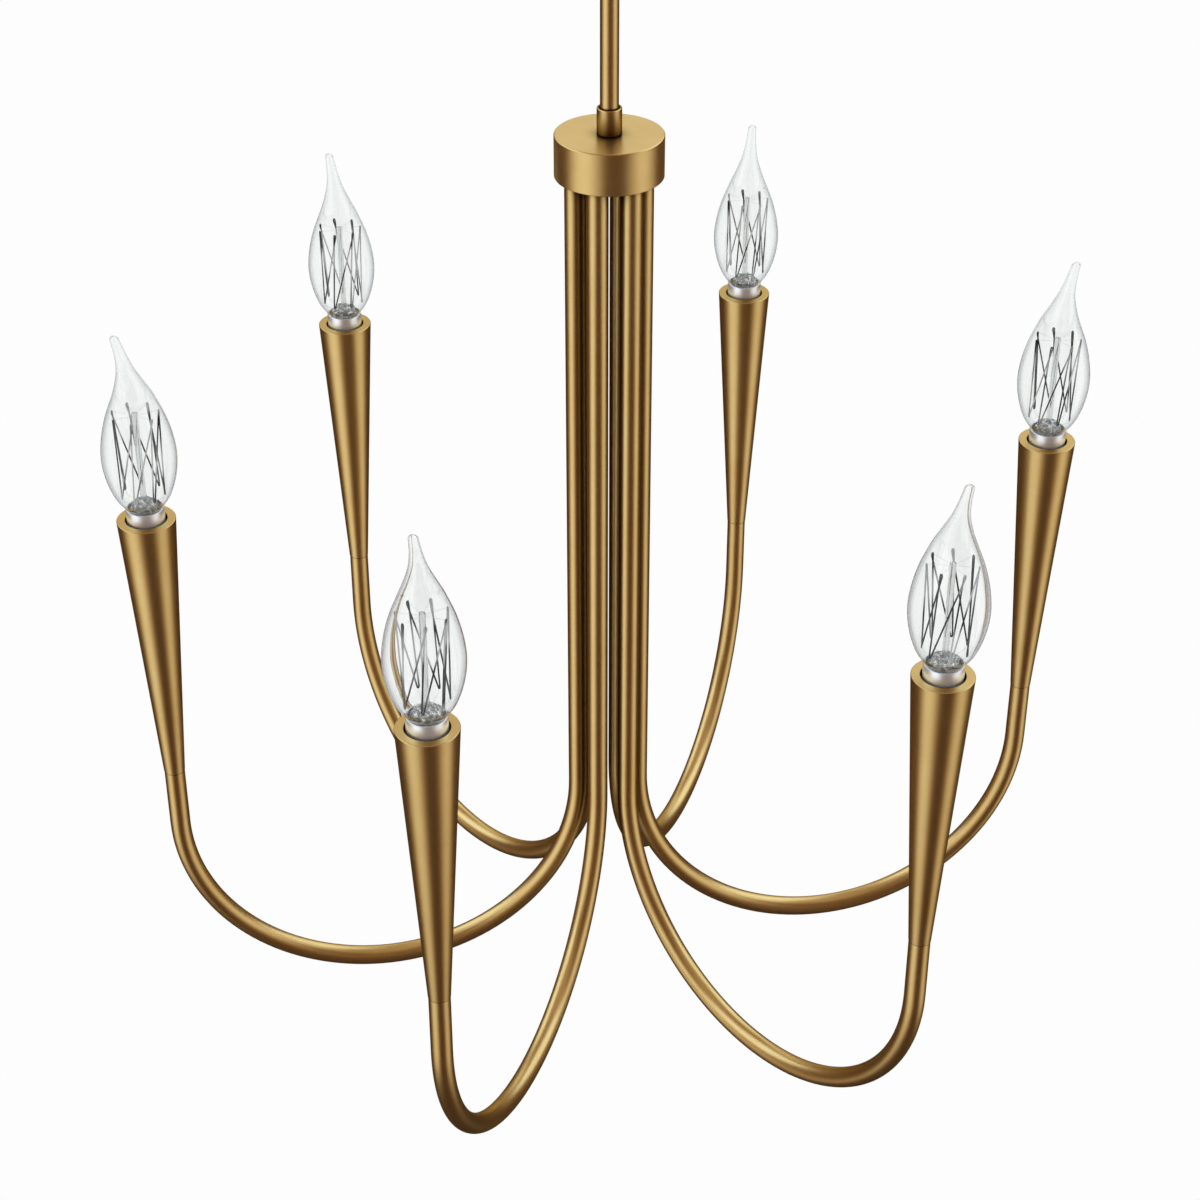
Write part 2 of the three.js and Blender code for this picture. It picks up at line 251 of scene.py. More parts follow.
class Material:
    """A node material with a few short ways to add what its surface needs. The sockets given with
    its name are those that are the same all over."""

    def __init__(self, name, **sockets):
        self.material = bpy.data.materials.new(name)
        self.material.use_nodes = True
        self.nodes = self.material.node_tree.nodes
        self.links = self.material.node_tree.links
        self.shader = self.nodes["Principled BSDF"]
        for socket, value in sockets.items():
            self.shader.inputs[socket.replace("_", " ")].default_value = value
        self.place = self.nodes.new("ShaderNodeTexCoord").outputs["Object"]

    def noise(self, scale, detail, stretch=(1, 1, 1), roughness=0.55):
        """A noise of about scale features in a metre, drawn out along an axis by stretch."""
        mapping = self.nodes.new("ShaderNodeMapping")
        mapping.inputs["Scale"].default_value = [1 / s for s in stretch]
        texture = self.nodes.new("ShaderNodeTexNoise")
        texture.inputs["Scale"].default_value = scale
        texture.inputs["Detail"].default_value = detail
        texture.inputs["Roughness"].default_value = roughness
        self.links.new(self.place, mapping.inputs["Vector"])
        self.links.new(mapping.outputs[0], texture.inputs["Vector"])
        return texture.outputs["Fac"]

    def range(self, factor, low, high, out_low=0, out_high=1):
        node = self.nodes.new("ShaderNodeMapRange")
        node.inputs["From Min"].default_value = low
        node.inputs["From Max"].default_value = high
        node.inputs["To Min"].default_value = out_low
        node.inputs["To Max"].default_value = out_high
        self.links.new(factor, node.inputs["Value"])
        return node.outputs["Result"]

    def mix(self, factor, first, second):
        """A colour between first and second. Either may be a colour or a socket."""
        node = self.nodes.new("ShaderNodeMix")
        node.data_type = "RGBA"
        self.links.new(factor, node.inputs["Factor"])
        for socket, value in ((MIX_FIRST, first), (MIX_SECOND, second)):
            if isinstance(value, tuple):
                node.inputs[socket].default_value = (*value, 1)
            else:
                self.links.new(value, node.inputs[socket])
        return node.outputs[MIX_RESULT]

    def color(self, socket):
        self.links.new(socket, self.shader.inputs["Base Color"])

    def roughness(self, grain, low, high):
        """Roughness from low to high as the grain goes from 0.3 to 0.7, where most of a noise is."""
        self.links.new(self.range(grain, 0.3, 0.7, low, high), self.shader.inputs["Roughness"])

    def bump(self, height, strength, depth_mm):
        node = self.nodes.new("ShaderNodeBump")
        node.inputs["Strength"].default_value = strength
        node.inputs["Distance"].default_value = depth_mm * MM
        self.links.new(height, node.inputs["Height"])
        self.links.new(node.outputs[0], self.shader.inputs["Normal"])

    def recess(self, reach_mm, open_share, closed_share):
        """0 where at least the open share of the light gets in from beyond reach, and 1 where no more
        than the closed share does."""
        node = self.nodes.new("ShaderNodeAmbientOcclusion")
        node.samples = 8
        node.inputs["Distance"].default_value = reach_mm * MM
        return self.range(node.outputs["AO"], open_share, closed_share)

    def facing_away(self, start, end):
        """0 where the surface turns less than start away from the eye, and 1 from end on."""
        node = self.nodes.new("ShaderNodeLayerWeight")
        node.inputs["Blend"].default_value = 0.5
        return self.range(node.outputs["Facing"], start, end)


def brass_material(name, reach_mm, open_share, closed_share, edge):
    """Satin brass with a slightly uneven tone and painted shade: its colour turns a dark brown in the
    recesses, between parts and under them, where little light gets in. Its reflections take the
    edge tint where it is seen edge on."""
    made = Material(name, Metallic=1.0, Specular_Tint=(*edge, 1))
    clouds = made.range(made.noise(38, detail=4), 0.35, 0.7)
    tone = made.mix(clouds, (0.71, 0.51, 0.211), (0.67, 0.465, 0.18))
    # Painted shade: the dark brown that the colour turns to where little light gets in.
    painted_shade = (0.06, 0.025, 0.006)
    made.color(made.mix(made.recess(reach_mm, open_share, closed_share), tone, painted_shade))
    grain = made.noise(2600, detail=2, stretch=(1, 1, 9))
    made.roughness(grain, 0.29, 0.36)
    made.bump(grain, strength=0.12, depth_mm=0.02)
    return made.material


def steel_material():
    made = Material("zinc_steel", Metallic=1.0)
    made.color(made.mix(made.noise(240, detail=3), (0.50, 0.51, 0.53), (0.64, 0.64, 0.63)))
    grain = made.noise(1500, detail=3, stretch=(12, 1, 1))
    made.roughness(grain, 0.3, 0.46)
    made.bump(grain, strength=0.2, depth_mm=0.02)
    return made.material


def cap_material():
    made = Material("satin_cap", Metallic=0.84)
    made.color(made.mix(made.noise(420, detail=3), (0.89, 0.925, 0.96), (0.94, 0.965, 1.0)))
    turned = made.noise(2400, detail=1, stretch=(30, 30, 1))
    made.roughness(turned, 0.3, 0.4)
    made.bump(turned, strength=0.2, depth_mm=0.02)
    return made.material


def glass_material():
    """Clear glass, its colour tinted grey where it is seen edge on: painted shade that stands in for
    the dark outline that reflection and refraction give the glass.
    """
    made = Material("clear_glass", Roughness=0.0, IOR=1.45, Transmission_Weight=1.0)
    made.color(made.mix(made.facing_away(0.52, 0.78), (0.965, 0.98, 0.972), (0.66, 0.675, 0.72)))
    made.bump(made.noise(70, detail=2, stretch=(1, 1, 3)), strength=0.1, depth_mm=0.1)
    return made.material


def stem_material():
    pale = (0.93, 0.95, 0.95, 1)
    made = Material("stem_glass", Base_Color=pale, Roughness=0.12, IOR=1.25, Transmission_Weight=0.75)
    made.bump(made.noise(300, detail=3, stretch=(1, 1, 6)), strength=0.3, depth_mm=0.2)
    return made.material


def pinch_material():
    """Glass that has been crushed flat while hot, full of small folds and silvery bubbles. Its colour
    follows the height of the folds, with painted shade in their hollows and painted glints on their
    ridges over the glass's own silvery tone.
    """
    made = Material("pinched_glass", Roughness=0.22, Metallic=0.8)
    # The fold height sets both the bump and the colour: painted shade low, painted glints high.
    folds = made.range(made.noise(520, detail=3, roughness=0.7), 0.4, 0.56)
    made.color(made.mix(folds, (0.42, 0.42, 0.42), (0.97, 0.98, 0.98)))
    made.bump(folds, strength=1.0, depth_mm=0.8)
    return made.material


def wire_material(name, dark, pale):
    """Fine wire, dark with paler lengths. The paler lengths are painted light, standing in for the
    reflections that make parts of the wires look pale.
    """
    made = Material(name, Specular_IOR_Level=0.15)
    # Painted light: paler lengths where reflections would pale the wire.
    painted_pale_lengths = made.range(made.noise(60, detail=1, stretch=(1, 1, 2)), 0.48, 0.57)
    made.color(made.mix(painted_pale_lengths, dark, pale))
    made.roughness(made.noise(3000, detail=2), 0.6, 0.8)
    return made.material


def phenolic_material():
    made = Material("phenolic")
    grain = made.noise(900, detail=4)
    made.color(made.mix(grain, (0.017, 0.015, 0.013), (0.032, 0.027, 0.024)))
    made.roughness(grain, 0.34, 0.52)
    made.bump(grain, strength=0.25, depth_mm=0.05)
    return made.material


def insulation_material():
    made = Material("lead_insulation", Roughness=0.4)
    grain = made.noise(700, detail=3)
    made.color(made.mix(grain, (0.70, 0.67, 0.60), (0.78, 0.76, 0.70)))
    made.bump(grain, strength=0.2, depth_mm=0.05)
    return made.material


# The numbers of a brass are the reach in millimetres of the recesses where shade is painted, and the
# shares of light at which the painted shade starts and is full.
DARK_EDGE = (0.25, 0.17, 0.09)
PALE_EDGE = (1, 0.97, 0.8)
MATERIALS = {
    "brass": brass_material("satin_brass", 14, 0.85, 0.45, DARK_EDGE),
    "steel": steel_material(),
    "cap_metal": cap_material(),
    "clear_glass": glass_material(),
    "stem_glass": stem_material(),
    "socket_plastic": phenolic_material(),
    "insulation": insulation_material(),
}
FILAMENT = wire_material("filament_wire", dark=(0.003, 0.003, 0.004), pale=(0.66, 0.66, 0.66))
SUPPORT = wire_material("support_wire", dark=(0.45, 0.45, 0.45), pale=(0.6, 0.6, 0.6))
PINCH = pinch_material()
# Each of these paints its own shade: the collar's reaches far and darkens its foot, the cups' stays in
# their bores.
HUB_BRASS = brass_material("turned_hub_brass", 14, 0.85, 0.45, PALE_EDGE)
FOOT_BRASS = brass_material("shaded_brass", 30, 0.83, 0.5, DARK_EDGE)
CUP_BRASS = brass_material("turned_brass", 4, 0.7, 0.35, DARK_EDGE)


# ---------------------------------------------------------------- shapes


# An edge sharper than this, in degrees, isn't shaded smooth.
SHARP_ANGLE = 38

# The angle between two points of a rounded corner's arc, about, in degrees
ARC_STEP = 15

# How far from each end of an arc the next point is, in millimetres
ARC_HOLD = 0.08


def rounded(corners, closed=True):
    """The outline through (radius, height, rounding) corners, with an arc at each rounded corner and
    a point just beyond each end of an arc, which keeps the flat stretches flat when shaded."""
    outline = []
    for i, (x, y, rounding) in enumerate(corners):
        corner = Vector((x, y))
        at_end = not closed and i in (0, len(corners) - 1)
        if rounding <= 0 or at_end:
            outline.append(corner)
            continue
        back = Vector(corners[i - 1][:2]) - corner
        ahead = Vector(corners[(i + 1) % len(corners)][:2]) - corner
        # An arc never takes half of a side, so that two always fit.
        room = 0.45 * min(back.length, ahead.length)
        back.normalize()
        ahead.normalize()
        half_angle = back.angle(ahead) / 2
        cut = min(rounding / math.tan(half_angle), room)
        radius = cut * math.tan(half_angle)
        turn = math.pi - 2 * half_angle
        centre = corner + (back + ahead).normalized() * (radius / math.sin(half_angle))
        first = corner + back * cut - centre
        last = corner + ahead * cut - centre
        steps = max(2, round(math.degrees(turn) / ARC_STEP))
        hold = min(ARC_HOLD, room / 2)
        outline.append(centre + first + back * hold)
        for k in range(steps + 1):
            share = k / steps
            spread = first * math.sin((1 - share) * turn) + last * math.sin(share * turn)
            outline.append(centre + spread / math.sin(turn))
        outline.append(centre + last + ahead * hold)
    return outline


def arc(radius, steps, first, last, x=0, y=0):
    """Points from angle first to angle last of a circle round x, y."""
    angles = [first + (last - first) * k / steps for k in range(steps + 1)]
    return [(x + radius * math.cos(a), y + radius * math.sin(a)) for a in angles]


def circle(radius, sides, x=0, y=0):
    return arc(radius, sides, 0, 2 * math.pi, x, y)[:-1]


def band(low, high, sides):
    """The faces between two rings of vertices, which start at the vertices numbered low and high."""
    faces = []
    for k in range(sides):
        after = (k + 1) % sides
        faces.append((low + k, low + after, high + after, high + k))
    return faces


def lathe(outline, segments, closed=True):
    """Vertices and faces of the outline turned about Z. An open outline starts and ends on the axis."""
    vertices, faces, rings = [], [], []
    for radius, z in outline:
        on_axis = radius < 1e-6
        if on_axis:
            rings.append([len(vertices)] * segments)
            vertices.append((0, 0, z))
            continue
        rings.append(range(len(vertices), len(vertices) + segments))
        vertices += [(x, y, z) for x, y in circle(radius, segments)]
    pairs = list(zip(rings, rings[1:]))
    if closed:
        pairs.append((rings[-1], rings[0]))
    for low, high in pairs:
        for k in range(segments):
            after = (k + 1) % segments
            corners = [low[k], low[after], high[after], high[k]]
            face = [c for j, c in enumerate(corners) if c not in corners[:j]]
            if len(face) > 2:
                faces.append(face)
    return vertices, faces


def tangents(path):
    """The direction of a path at each of its points."""
    last = len(path) - 1
    return [(path[min(i + 1, last)] - path[max(i - 1, 0)]).normalized() for i in range(last + 1)]


def ring_across(point, radius, sides, normal, side):
    """Vertices round a point, in the plane of two directions."""
    angles = [2 * math.pi * k / sides for k in range(sides)]
    return [point + radius * (math.cos(a) * normal + math.sin(a) * side) for a in angles]


def sweep(path, radius, bore, sides):
    """A round tube along a path in the XZ plane."""
    vertices, faces = [], []
    across = Vector((0, 1, 0))
    for size in (radius, bore):
        for point, tangent in zip(path, tangents(path)):
            vertices += ring_across(point, size, sides, across.cross(tangent), across)
    inner = len(path) * sides
    for layer in (0, inner):
        for i in range(len(path) - 1):
            low = layer + i * sides
            faces += band(low, low + sides, sides)
    for end in (0, inner - sides):
        faces += band(end, inner + end, sides)
    return vertices, faces


def wire(path, radius, sides):
    """A round wire along a path of points."""
    path = [Vector(p) for p in path]
    vertices, faces = [], []
    normal = Vector((0, 0, 1))
    for i, (point, tangent) in enumerate(zip(path, tangents(path))):
        # A wire that starts upright needs another first direction.
        if i == 0 and abs(tangent.z) > 0.9:
            normal = Vector((1, 0, 0))
        normal = (normal - tangent * normal.dot(tangent)).normalized()
        vertices += ring_across(point, radius, sides, normal, tangent.cross(normal))
    last = (len(path) - 1) * sides
    for low in range(0, last, sides):
        faces += band(low, low + sides, sides)
    faces.append(tuple(range(sides)))
    faces.append(tuple(range(last, last + sides)))
    return vertices, faces


def joined(shapes):
    """Several shapes as one."""
    vertices, faces = [], []
    for more_vertices, more_faces in shapes:
        start = len(vertices)
        vertices += [tuple(v) for v in more_vertices]
        faces += [[start + c for c in face] for face in more_faces]
    return vertices, faces


def smooth_line(keys, steps):
    """A smooth line through key points, with the given number of steps between each two."""
    keys = [Vector(k) for k in keys]
    line = []
    for i in range(len(keys) - 1):
        before, first = keys[max(i - 1, 0)], keys[i]
        second, beyond = keys[i + 1], keys[min(i + 2, len(keys) - 1)]
        for k in range(steps):
            t = k / steps
            line.append(
                first
                + (second - before) * (t / 2)
                + (before * 2 - first * 5 + second * 4 - beyond) * (t * t / 2)
                + (first * 3 - before - second * 3 + beyond) * (t**3 / 2)
            )
    return line + [keys[-1]]


def wall_points(radius, low, high, count):
    """The points of a straight wall at one radius, close enough together to wind a thread in it."""
    return [Vector((radius, low + (high - low) * k / count)) for k in range(count + 1)]


def threaded(shape, radius, low, high, pitch, depth):
    """Winds a screw thread round the part of a lathed shape that has the given radius. It fades over
    half a turn at its ends."""
    vertices, faces = shape
    wound = []
    for x, y, z in vertices:
        size = math.hypot(x, y)
        on_wall = abs(size - radius) < 0.05
        if on_wall and low <= z <= high:
            turns = math.atan2(y, x) / (2 * math.pi) - z / pitch
            ease = min(1, 2 * (z - low) / pitch, 2 * (high - z) / pitch)
            grown = 1 + depth * ease * math.cos(2 * math.pi * turns) / size
            x, y = x * grown, y * grown
        wound.append((x, y, z))
    return wound, faces


def knurled(shape, radius, count, depth):
    """Cuts shallow grooves across the part of a lathed shape beyond the given radius."""
    vertices, faces = shape
    cut = []
    for x, y, z in vertices:
        size = math.hypot(x, y)
        if size > radius:
            shrunk = 1 - depth * (0.5 + 0.5 * math.cos(count * math.atan2(y, x))) / size
            x, y = x * shrunk, y * shrunk
        cut.append((x, y, z))
    return cut, faces


def prism(outline, low, high):
    """The outline, a list of (x, y), from height low up to height high."""
    count = len(outline)
    vertices = [(x, y, z) for z in (low, high) for x, y in outline]
    faces = [tuple(range(count))[::-1], tuple(range(count, 2 * count))]
    return vertices, faces + band(0, count, count)


def cylinder(radius, low, high, x=0, y=0, sides=72):
    return prism(circle(radius, sides, x, y), low, high)


def block(width, depth, low, high):
    w, d = width / 2, depth / 2
    return prism([(-w, -d), (w, -d), (w, d), (-w, d)], low, high)


def slot_outline(half_length, radius, x):
    """A slot along X, its ends half round, round the point x on that axis."""
    right = arc(radius, 16, -math.pi / 2, math.pi / 2, x + half_length)
    left = arc(radius, 16, math.pi / 2, 3 * math.pi / 2, x - half_length)
    return right + left


def moved(shape, matrix):
    vertices, faces = shape
    return [matrix @ Vector(v) for v in vertices], faces


def lying(shape, z):
    """Lays a shape down, so that its Z becomes -Y, and lifts it to height z."""
    return moved(shape, Matrix.Translation((0, 0, z)) @ Matrix.Rotation(math.pi / 2, 4, "X"))


def carved(shape, steps, bevel):
    """A shape after a row of (operation, shape) steps, with its sharp edges eased by the bevel."""
    kept = []
    for vertices, faces in [shape] + [tool for operation, tool in steps]:
        mesh = bpy.data.meshes.new("carving")
        mesh.from_pydata([Vector(v) for v in vertices], [], faces)
        thing = bpy.data.objects.new("carving", mesh)
        bpy.context.collection.objects.link(thing)
        kept.append(thing)
    base = kept[0]
    for (operation, tool), thing in zip(steps, kept[1:]):
        cut = base.modifiers.new("cut", "BOOLEAN")
        cut.operation = operation
        cut.solver = "EXACT"
        cut.object = thing
    eased = base.modifiers.new("ease", "BEVEL")
    eased.width = bevel
    eased.segments = 2
    eased.limit_method = "ANGLE"
    eased.angle_limit = math.radians(35)
    result = base.evaluated_get(bpy.context.evaluated_depsgraph_get()).to_mesh()
    vertices = [tuple(v.co) for v in result.vertices]
    faces = [tuple(face.vertices) for face in result.polygons]
    for thing in kept:
        mesh = thing.data
        bpy.data.objects.remove(thing)
        bpy.data.meshes.remove(mesh)
    return vertices, faces


def piece(name, shape, body, slot, replaced=(), matrix=None, material=None):
    """A mesh object that rides on a body. shape is vertices and faces in millimetres."""
    vertices, faces = shape
    matrix = matrix or Matrix.Identity(4)
    mesh = bpy.data.meshes.new(name)
    mesh.from_pydata([matrix @ (Vector(v) * MM) for v in vertices], [], faces)
    shaped = bmesh.new()
    shaped.from_mesh(mesh)
    bmesh.ops.recalc_face_normals(shaped, faces=shaped.faces)
    shaped.to_mesh(mesh)
    shaped.free()
    mesh.shade_smooth()
    mesh.set_sharp_from_angle(angle=math.radians(SHARP_ANGLE))
    mesh.materials.append(material or MATERIALS[slot])
    made = bpy.data.objects.new(name, mesh)
    bpy.context.collection.objects.link(made)
    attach(made, body)
    if replaced:
        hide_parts(*replaced)
    return made


def carved_piece(*args, **options):
    """A piece made by carving. Its shading follows its large faces, so that they look flat."""
    made = piece(*args, **options)
    weighted = made.modifiers.new("flat faces", "WEIGHTED_NORMAL")
    weighted.keep_sharp = True


# ---------------------------------------------------------------- the arms and cups


def arm_matrix(number):
    return Matrix.Rotation(2 * math.pi * (number - 1) / ARM_COUNT, 4, "Z")


def candle_matrix(number):
    """Places a shape whose origin is the centre of a cup's rim. Its +X points away from the hub."""
    return arm_matrix(number) @ Matrix.Translation((ARM_RADIUS, 0, RIM_Z))


def arm_tube(number):
    leg, out = LEG_RADIUS / MM, ARM_RADIUS / MM
    bend, bend_z = BEND_RADIUS / MM, BEND_Z / MM
    # The straight stretches end a little before the bend starts, which keeps them straight.
    straight_end = bend_z + 1
    path = [Vector((leg, 0, tube_high.z / MM)), Vector((leg, 0, straight_end))]
    steps = 72
    for k in range(steps + 1):
        angle = math.pi * (1 + k / steps)
        path.append(Vector((leg + bend + bend * math.cos(angle), 0, bend_z + bend * math.sin(angle))))
    path.append(Vector((out, 0, straight_end)))
    path.append(Vector((out, 0, RIM_Z / MM - CUP_LENGTH - GAP)))
    shape = sweep(path, TUBE_RADIUS, TUBE_BORE, sides=40)
    node = f"arm_tube_{number}"
    piece(f"bent_tube_{number}", shape, "fixture", "brass", [node], arm_matrix(number))


def candle_cup(number):
    """The cup's foot has a spigot inside the arm tube, and its bore has a ledge for the socket."""
    ledge = 48
    spigot_radius = 3.9
    spigot_end = CUP_LENGTH + 10
    lead_hole = 2.2
    outline = rounded(
        [
            (CUP_RIM_RADIUS, 0, 0.45),
            (CUP_BORE, 0, 0.35),
            (CUP_BORE, -ledge, 0.3),
            (CUP_BORE - 1.2, -ledge, 0.2),
            (4.2, -CUP_LENGTH + 13, 0.4),
            (lead_hole, -CUP_LENGTH + 9, 0.4),
            (lead_hole, -spigot_end, 0.2),
            (spigot_radius, -spigot_end, 0.3),
            (spigot_radius, -CUP_LENGTH, 0.1),
            (CUP_FOOT_RADIUS, -CUP_LENGTH, 0.12),
        ]
    )
    shape = lathe(outline, segments=72)
    node = f"candle_cup_{number}"
    place = candle_matrix(number)
    piece(f"turned_cup_{number}", shape, "fixture", "brass", [node], place, CUP_BRASS)


def lamp_socket(number):
    top, floor, bottom = -13, -31, -47.6
    outer, bore, lead_hole = CUP_BORE - 0.5, 6.4, 1.9
    outline = rounded(
        [
            (outer, top, 0.8),
            (bore, top, 0.5),
            (bore, floor, 0.3),
            (lead_hole, floor, 0.2),
            (lead_hole, bottom, 0.2),
            (outer, bottom, 0.8),
        ]
    )
    shape = lathe(outline, segments=48)
    node = f"lamp_socket_{number}"
    place = candle_matrix(number)
    piece(f"moulded_socket_{number}", shape, "fixture", "socket_plastic", [node], place)


def screw_shell(number):
    """The thin threaded metal shell inside the socket."""
    low, high = -30.5, -14
    inner, outer = 6.1, 6.3
    outline = [Vector((outer, high)), Vector((outer, low))] + wall_points(inner, low, high, count=50)
    shape = lathe(outline, segments=64)
    shape = threaded(shape, inner, low, high, SCREW_PITCH, depth=0.1)
    piece(f"screw_shell_{number}", shape, "fixture", "cap_metal", matrix=candle_matrix(number))


# ---------------------------------------------------------------- the bulbs


def screw_cap(number):
    """The cap's skirt holds the neck of the glass, and its narrow part is a rolled screw thread."""
    top, bottom = -13.2, -23.6
    radius = 5.45
    contact = [(0, -27.5), (2.2, -27.5), (2.6, -27), (3.2, -25.6), (5.3, -24.2)]
    skirt = rounded(
        [
            (5.6, -12.9, 0),
            (9.8, -9.5, 1.4),
            (9.8, 7, 0.35),
            (9, 7, 0.3),
            (9, -8.5, 0.8),
            (0, -10.5, 0),
        ],
        closed=False,
    )
    outline = [Vector(c) for c in contact] + wall_points(radius, bottom, top, count=44) + skirt
    shape = lathe(outline, segments=64, closed=False)
    shape = threaded(shape, radius, bottom, top, SCREW_PITCH, depth=0.33)
    node = f"bulb_cap_{number}"
    place = candle_matrix(number)
    piece(f"screw_cap_{number}", shape, f"bulb_{number}", "cap_metal", [node], place)


def tip_bend(z):
    """How far the bulb's tip leans outward at height z."""
    beyond = max(z - BULB_BEND_START, 0) / (BULB_TOP - BULB_BEND_START)
    return BULB_TIP_OFFSET * beyond**1.4


def glass_envelope(number):
    wall = 0.5
    neck_radius, neck_bore, neck_end = 8.5, 7.7, -6
    belly = [
        (8.5, 6.2),
        (10.1, 8.4),
        (14.3, 15),
        (17.6, 25),
        (18.95, 36),
        (17.9, 47),
        (15.2, 58),
        (11.2, 68.5),
        (7.2, 78),
        (4.4, 86),
        (3.0, 93.5),
        (2.4, 100),
    ]
    tip_radius = 2.35
    tip_z = BULB_TOP - tip_radius

    def tip(radius, angles):
        return [Vector((radius * math.cos(a), tip_z + radius * math.sin(a))) for a in angles]

    neck = [Vector((neck_bore, neck_end)), Vector((neck_radius, neck_end))]
    outside = [Vector((neck_radius, 5))] + smooth_line(belly, steps=7)
    inside = [Vector((point.x - wall, point.y)) for point in outside]
    outside += tip(tip_radius, (0, 0.35, 0.7, 1.05, 1.35)) + [Vector((0, BULB_TOP))]
    inside += tip(tip_radius - wall, (0, 0.4, 0.8, 1.2)) + [Vector((0, BULB_TOP - wall))]
    vertices, faces = lathe(neck + outside + inside[::-1], segments=96)
    shape = [(x + tip_bend(z), y, z) for x, y, z in vertices], faces
    node = f"bulb_glass_{number}"
    place = candle_matrix(number)
    piece(f"glass_envelope_{number}", shape, f"bulb_{number}", "clear_glass", [node], place)


def stem_rod(number):
    """A glass rod up the middle of the bulb."""
    radius, bottom, top = 1.55, 8, 61.2
    outline = rounded(
        [(0, bottom, 0), (radius, bottom, 0.2), (radius, top, 1.2), (0, top, 0)],
        closed=False,
    )
    shape = lathe(outline, segments=32, closed=False)
    node = f"filament_mount_{number}"
    place = candle_matrix(number)
    piece(f"stem_rod_{number}", shape, f"bulb_{number}", "stem_glass", [node], place)


def pinched_foot(number):
    """The foot of the rod, which is pinched round the leads. It is crumpled most at its middle."""
    point_spacing = 0.6
    middle, reach = 9, 5.5
    most_push, most_lift = 0.22, 1.3
    folds = 0.6
    outline = rounded(
        [
            (0, -4.5, 0),
            (7.3, -4.5, 0.4),
            (7.5, 5.5, 3),
            (6.3, 9.5, 2.5),
            (3.4, 11.6, 3),
            (0, 12.4, 0),
        ],
        closed=False,
    )
    fine = []
    for first, second in zip(outline, outline[1:]):
        steps = max(1, round((second - first).length / point_spacing))
        fine += [first.lerp(second, k / steps) for k in range(steps)]
    fine.append(outline[-1])
    vertices, faces = lathe(fine, segments=56, closed=False)
    crumpled = []
    for x, y, z in vertices:
        share = max(0.0, 1 - abs(z - middle) / reach)
        push = 1 + most_push * share * noise.noise(Vector((x, y, z)) * folds)
        lift = most_lift * share * noise.noise(Vector((y, z, x)) * folds)
        crumpled.append((x * push, y * push, z + lift))
    name, body = f"pinched_foot_{number}", f"bulb_{number}"
    place = candle_matrix(number)
    piece(name, (crumpled, faces), body, "stem_glass", matrix=place, material=PINCH)


def filament(number):
    """A wire that runs up and down round the stem, over seven hooks at the top and at the foot."""
    hooks = 7
    top_radius, top_z = 12.0, 61.0
    foot_radius, foot_z = 11.0, 14.5
    first_hook = math.radians(-21)
    lean = math.radians(-14)
    hook_width = 0.95

    # Where the hooks' supports end, inside the foot and the rod
    foot_end_radius, foot_end_z = 5.5, 10
    rod_end_radius, rod_end_drop = 1.2, 1.4

    def place(radius, angle, z):
        return Vector((radius * math.cos(angle), radius * math.sin(angle), z))

    turns, supports = [], []
    for k in range(hooks):
        top_angle = first_hook + 2 * math.pi * k / hooks
        next_angle = first_hook + 2 * math.pi * (k + 1) / hooks
        foot_angle = top_angle + lean
        half_top = hook_width / 2 / top_radius
        half_foot = hook_width / 2 / foot_radius
        turns.append(
            [
                place(top_radius, top_angle + half_top, top_z - 1),
                place(top_radius, top_angle + half_top / 2, top_z),
                place(top_radius, top_angle - half_top / 2, top_z),
                place(top_radius, top_angle - half_top, top_z - 1),
                place(foot_radius, foot_angle - half_foot, foot_z + 1),
                place(foot_radius, foot_angle - half_foot / 2, foot_z),
                place(foot_radius, foot_angle + half_foot / 2, foot_z),
                place(foot_radius, foot_angle + half_foot, foot_z + 1),
                place(top_radius, next_angle + half_top, top_z - 1),
            ]
        )
        supports.append(
            [
                place(foot_radius, foot_angle, foot_z),
                place(foot_radius - 1, foot_angle, foot_z - 2),
                place(foot_end_radius, foot_angle, foot_end_z),
            ]
        )
        rod_end = place(rod_end_radius, top_angle, top_z - rod_end_drop)
        supports.append([place(top_radius, top_angle, top_z), rod_end])
    matrix = candle_matrix(number)
    for name, paths, radius, sides, material in (
        ("filament", turns, 0.4, 8, FILAMENT),
        ("supports", supports, 0.05, 5, SUPPORT),
    ):
        shape = joined([wire(path, radius, sides) for path in paths])
        piece(f"{name}_{number}", shape, f"bulb_{number}", "steel", matrix=matrix, material=material)


# ---------------------------------------------------------------- the hub and rod


def hub_cover():
    bottom, top = levels("hub_cover")
    hole, wall, thickness = 4.3, 1.5, 2.5
    outline = rounded(
        [
            (HUB_RADIUS, bottom, 0.4),
            (HUB_RADIUS, top, 0.7),
            (hole, top, 0.2),
            (hole, top - thickness, 0.2),
            (HUB_RADIUS - wall, top - thickness, 0.5),
            (HUB_RADIUS - wall, bottom, 0.3),
        ]
    )
    shape = lathe(outline, segments=128)
    piece("turned_hub", shape, "fixture", "brass", ["hub_cover"], material=HUB_BRASS)


def hub_plate():
    low, high = levels("hub_plate")
    leg, tube_hole = LEG_RADIUS / MM, 5.8
    radius = HUB_RADIUS - 1.9
    cuts = []
    for i in range(ARM_COUNT):
        angle = 2 * math.pi * i / ARM_COUNT
        x, y = leg * math.cos(angle), leg * math.sin(angle)
        cuts.append(("DIFFERENCE", cylinder(tube_hole, low - 1, high + 1, x, y, sides=48)))
    shape = carved(cylinder(radius, low, high, sides=128), cuts, bevel=0.2)
    carved_piece("drilled_plate", shape, "fixture", "brass", ["hub_plate"])


